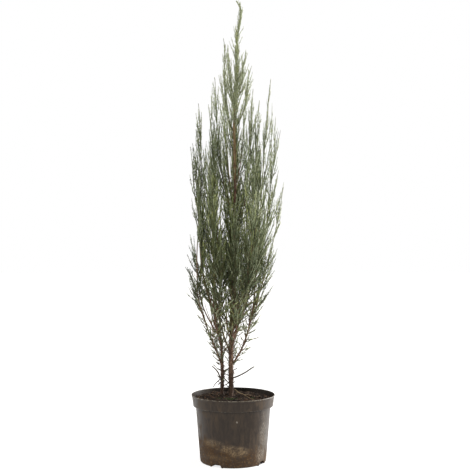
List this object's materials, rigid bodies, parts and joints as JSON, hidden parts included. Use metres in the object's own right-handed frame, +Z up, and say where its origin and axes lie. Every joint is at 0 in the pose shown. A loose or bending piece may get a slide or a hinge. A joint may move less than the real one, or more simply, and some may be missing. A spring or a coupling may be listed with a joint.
{
  "type": "potted rocky mountain juniper",
  "caption": "Slim columnar rocky mountain juniper with upright boughs and blue-green needle plumes, in a round plastic nursery pot.",
  "frame": {"origin": "centre of the flat underside of the pot", "axes": "+Z up along the pot's axis and the tree, -Y towards the side that is seen first, +X to that side's right"},
  "size_m": [0.2625, 0.2372, 1.246],
  "materials": {
    "pot_plastic": "moulded dark brown-grey polypropylene, dusty, with dried dirt low down",
    "potting_mix": "damp dark crumbly peat and bark mix",
    "bark": "thin reddish brown bark that peels in strips",
    "needles": "matt blue-green scale leaves with a grey bloom"
  },
  "bodies": {
    "root": {"pot": "pot_plastic", "potting_mix": "potting_mix", "main_stem": "bark", "second_stem": "bark", "bough_left_low": "bark", "bough_left_mid": "bark", "bough_left_inner": "bark", "bough_left_front": "bark", "bough_left_back": "bark", "bough_right_low": "bark", "bough_right_mid": "bark", "bough_right_front": "bark", "bough_right_back": "bark", "bough_front": "bark", "bough_back": "bark", "plume_leader": "needles", "plume_top_left": "needles", "plume_top_front": "needles", "plume_top_right": "needles", "plume_top_inner": "needles", "plume_top_back": "needles", "plume_mid_left": "needles", "plume_mid_right": "needles", "plume_mid_back": "needles", "plume_mid_front_left": "needles", "plume_mid_front_right": "needles", "plume_left_tall": "needles", "plume_left_inner": "needles", "plume_left_outer": "needles", "plume_left_side": "needles", "plume_left_thin": "needles", "plume_left_back": "needles", "plume_left_front": "needles", "plume_left_foot": "needles", "plume_left_low": "needles", "plume_front_centre": "needles", "plume_front_left": "needles", "plume_front_foot": "needles", "plume_front_low": "needles", "plume_right_tall": "needles", "plume_right_far": "needles", "plume_right_side": "needles", "plume_right_foot": "needles", "plume_right_mid": "needles", "plume_right_outer": "needles", "plume_right_front": "needles", "plume_right_low": "needles", "plume_right_back": "needles", "plume_back": "needles", "plume_back_left": "needles", "plume_back_right": "needles", "plume_back_foot": "needles", "twig_low_left": "needles", "twig_low_right": "needles"}
  },
  "joints": []
}
